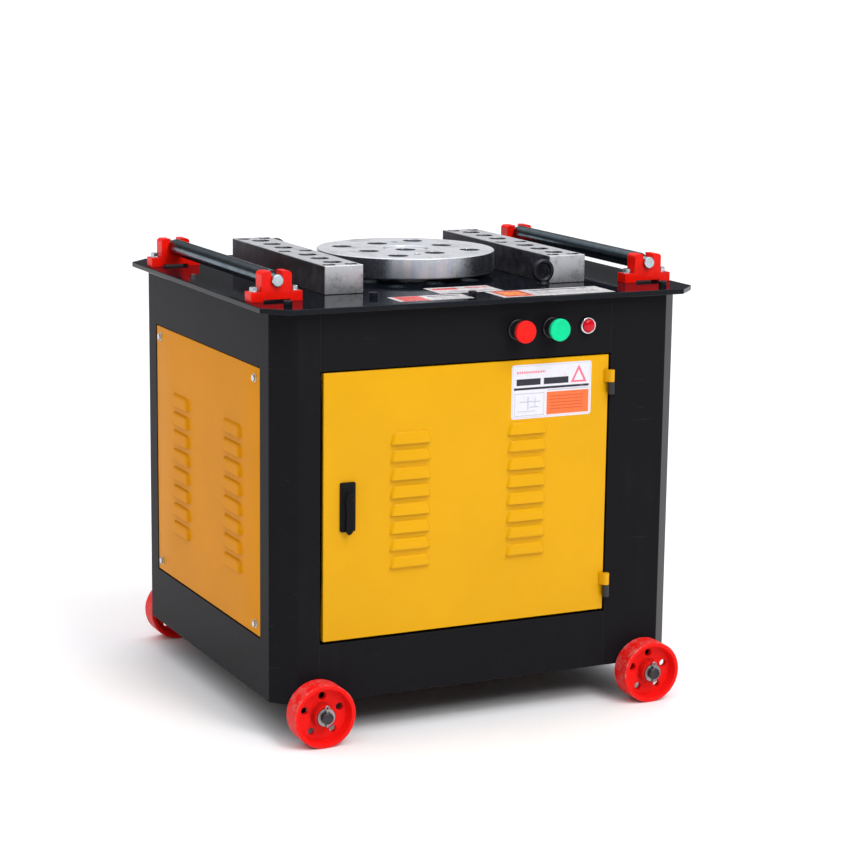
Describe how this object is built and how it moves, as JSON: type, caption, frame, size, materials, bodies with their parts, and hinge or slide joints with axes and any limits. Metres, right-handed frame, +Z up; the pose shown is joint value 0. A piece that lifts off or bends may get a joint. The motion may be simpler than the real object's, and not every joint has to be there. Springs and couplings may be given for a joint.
{
  "type": "rebar bender",
  "caption": "Wheeled steel cabinet with a thick table that carries a driven bending disc with pin sockets, hole bars, feed rollers, lifting eyes, a hinged door and push buttons.",
  "frame": {"origin": "on the floor under the middle of the table, on the axis of the bending disc", "axes": "+X along the width to the right, +Y to the rear, +Z up"},
  "size_m": [0.892, 0.854, 0.862],
  "materials": {
    "black_paint": "gloss",
    "yellow_paint": "gloss",
    "red_paint": "gloss",
    "bright_steel": "ground",
    "zinc": "zinc plated",
    "roller_steel": "polished, dark",
    "black_oxide": "blackened",
    "cast_iron": "machined and painted",
    "chrome": "bright",
    "red_plastic": "satin",
    "green_plastic": "satin",
    "black_plastic": "matt",
    "red_lens": "clear red",
    "label_white": "printed film",
    "belt_rubber": "matt"
  },
  "bodies": {
    "cabinet": {"table_plate": "black_paint", "front_left_post": "black_paint", "front_right_post": "black_paint", "rear_posts": "black_paint", "front_top_panel": "black_paint", "front_bottom_panel": "black_paint", "side_rails": "black_paint", "rear_rails": "black_paint", "left_cover": "yellow_paint", "right_cover": "yellow_paint", "rear_cover": "yellow_paint", "cover_screws": "zinc", "base_beams": "black_paint", "cross_beams": "black_paint", "axles": "black_oxide", "axle_retainers": "zinc", "left_hole_bar": "bright_steel", "right_hole_bar": "bright_steel", "socket_screws": "black_oxide", "table_labels": "label_white", "roller_brackets": "red_paint", "bracket_bolts": "zinc", "lifting_eyes": "black_oxide", "frame_hinges": "black_paint", "button_collars": "black_plastic", "contact_blocks": "black_plastic", "indicator_bezel": "chrome", "indicator_lens": "red_lens", "gearbox_housing": "cast_iron", "gearbox_cover": "cast_iron", "bearings": "bright_steel", "drive_belts": "belt_rubber", "motor_body": "cast_iron", "motor_stand": "black_paint", "control_box": "cast_iron", "cable_gland": "black_plastic"},
    "door_panel": {"door": "yellow_paint", "latch_base": "black_plastic", "safety_label": "label_white"},
    "latch": {"latch_handle": "black_plastic", "latch_cam": "zinc"},
    "stop": {"stop_button": "red_plastic"},
    "start": {"start_button": "green_plastic"},
    "turntable": {"work_disc": "bright_steel", "spindle": "bright_steel", "main_gear": "bright_steel"},
    "idler": {"idler_shaft": "bright_steel", "idler_gear": "bright_steel"},
    "input": {"input_shaft": "bright_steel", "input_pulley": "cast_iron"},
    "motor_shaft": {"motor_rotor": "bright_steel", "motor_pulley": "cast_iron"},
    "roller_l": {"left_roller": "roller_steel", "left_roller_shaft": "zinc"},
    "roller_r": {"right_roller": "roller_steel", "right_roller_shaft": "zinc"},
    "wheel_fl": {"front_left_wheel": "red_paint"},
    "wheel_fr": {"front_right_wheel": "red_paint"},
    "wheel_rl": {"rear_left_wheel": "red_paint"},
    "wheel_rr": {"rear_right_wheel": "red_paint"}
  },
  "joints": [
    {"name": "disc_spin", "type": "hinge", "parent": "cabinet", "child": "turntable", "pos_m": [0, 0, 0.857], "axis": [0, 0, 1], "continuous": true},
    {"name": "idler_spin", "type": "hinge", "parent": "cabinet", "child": "idler", "pos_m": [0.18, 0, 0.7], "axis": [0, 0, 1], "continuous": true},
    {"name": "input_spin", "type": "hinge", "parent": "cabinet", "child": "input", "pos_m": [0.13383, 0.12686, 0.62], "axis": [0, 0, 1], "continuous": true},
    {"name": "motor_spin", "type": "hinge", "parent": "cabinet", "child": "motor_shaft", "pos_m": [-0.19617, 0.12686, 0.62], "axis": [0, 0, 1], "continuous": true},
    {"name": "door_swing", "type": "hinge", "parent": "cabinet", "child": "door_panel", "pos_m": [0.25925, -0.3731, 0.435], "axis": [0, 0, 1], "range_deg": [0, 110]},
    {"name": "latch_turn", "type": "hinge", "parent": "door_panel", "child": "latch", "pos_m": [-0.283, -0.365, 0.4565], "axis": [0, 1, 0], "range_deg": [0, 90]},
    {"name": "stop_push", "type": "slide", "parent": "cabinet", "child": "stop", "axis": [0, 1, 0], "range_m": [0, 0.005], "stiffness_N_per_m": 600, "springref_m": -0.002},
    {"name": "start_push", "type": "slide", "parent": "cabinet", "child": "start", "axis": [0, 1, 0], "range_m": [0, 0.005], "stiffness_N_per_m": 600, "springref_m": -0.002},
    {"name": "roller_l_spin", "type": "hinge", "parent": "cabinet", "child": "roller_l", "pos_m": [-0.387, 0, 0.8455], "axis": [0, 1, 0], "continuous": true},
    {"name": "roller_r_spin", "type": "hinge", "parent": "cabinet", "child": "roller_r", "pos_m": [0.387, 0, 0.8455], "axis": [0, 1, 0], "continuous": true},
    {"name": "wheel_fl_spin", "type": "hinge", "parent": "cabinet", "child": "wheel_fl", "pos_m": [-0.345, -0.393, 0.06], "axis": [0, 1, 0], "continuous": true},
    {"name": "wheel_fr_spin", "type": "hinge", "parent": "cabinet", "child": "wheel_fr", "pos_m": [0.345, -0.393, 0.06], "axis": [0, 1, 0], "continuous": true},
    {"name": "wheel_rl_spin", "type": "hinge", "parent": "cabinet", "child": "wheel_rl", "pos_m": [-0.345, 0.393, 0.06], "axis": [0, 1, 0], "continuous": true},
    {"name": "wheel_rr_spin", "type": "hinge", "parent": "cabinet", "child": "wheel_rr", "pos_m": [0.345, 0.393, 0.06], "axis": [0, 1, 0], "continuous": true}
  ],
  "couplings": [
    {"joint": "idler_spin", "follows": "disc_spin", "ratio": -4},
    {"joint": "input_spin", "follows": "disc_spin", "ratio": 16},
    {"joint": "motor_spin", "follows": "disc_spin", "ratio": 40}
  ]
}
